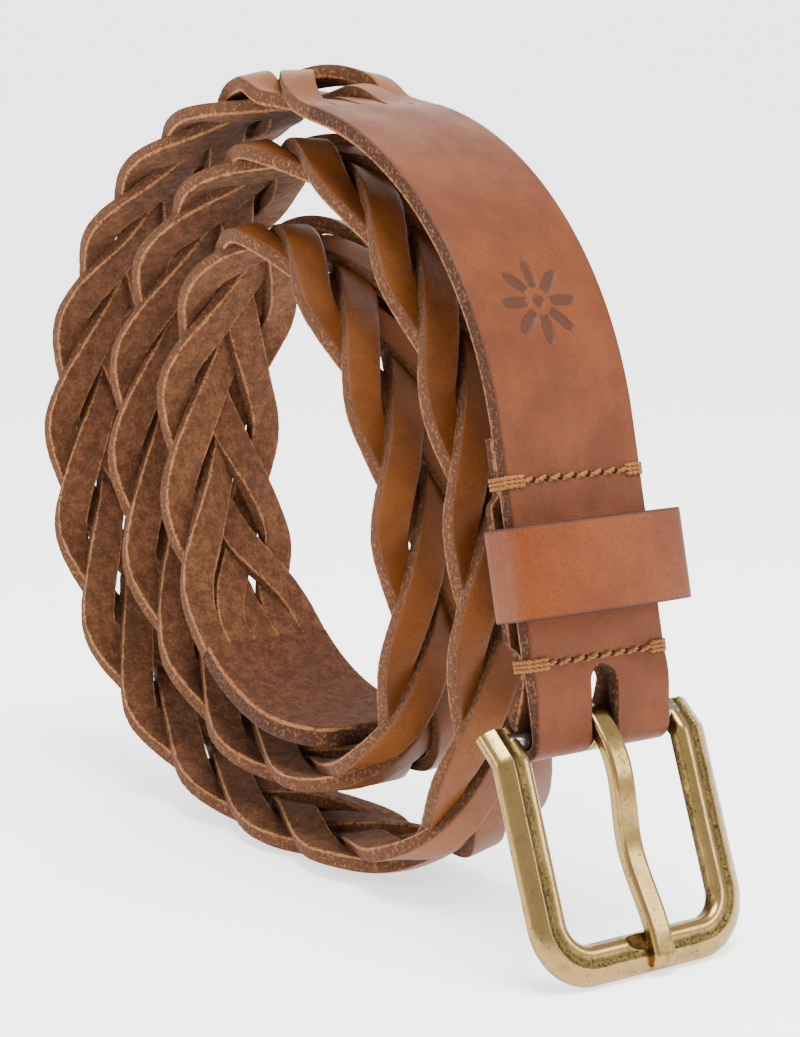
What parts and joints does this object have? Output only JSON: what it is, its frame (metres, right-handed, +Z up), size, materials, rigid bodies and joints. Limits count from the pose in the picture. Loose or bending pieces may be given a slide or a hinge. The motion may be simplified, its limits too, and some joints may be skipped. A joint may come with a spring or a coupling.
{
  "type": "braided leather belt",
  "caption": "Rolled-up braided leather dress belt with a solid leather buckle end, a leather keeper and a metal prong buckle.",
  "frame": {"origin": "middle of the standing roll's footprint, on the ground it stands on", "axes": "+X from the roll towards the buckle, Y along the roll's axis, which is the belt's width, +Z up"},
  "size_m": [0.2252, 0.0552, 0.1779],
  "materials": {
    "strap_leather": "smooth full-grain cognac leather with a low sheen",
    "strand_leather": "smooth grain side, brown suede flesh side and raw fuzzy cut edges",
    "keeper_leather": "smooth cognac leather with dark burnished edges",
    "waxed_thread": "waxed golden-tan thread",
    "antique_brass": "antiqued brass, dark in the hollows and rubbed bright on the edges",
    "plain_steel": "plain drawn steel wire"
  },
  "bodies": {
    "belt": {"strap": "strap_leather", "strand_1": "strand_leather", "strand_2": "strand_leather", "strand_3": "strand_leather", "strand_4": "strand_leather", "strand_5": "strand_leather", "tip": "strap_leather", "lower_stitching": "waxed_thread", "upper_stitching": "waxed_thread"},
    "frame": {"buckle_frame": "antique_brass", "hinge_bar": "plain_steel"},
    "prong": {"prong": "antique_brass"},
    "keeper": {"keeper": "keeper_leather", "keeper_staple": "plain_steel"}
  },
  "joints": [
    {"name": "frame_hinge", "type": "hinge", "parent": "belt", "child": "frame", "pos_m": [0.08922, 0, 0.04729], "axis": [0, 1, 0], "range_deg": [-50, 30]},
    {"name": "prong_hinge", "type": "hinge", "parent": "frame", "child": "prong", "pos_m": [0.08922, 0, 0.04729], "axis": [0, -1, 0], "range_deg": [0, 60]},
    {"name": "keeper_slide", "type": "slide", "parent": "belt", "child": "keeper", "axis": [-0.225, 0, 0.9744], "range_m": [-0.004, 0.004]}
  ]
}
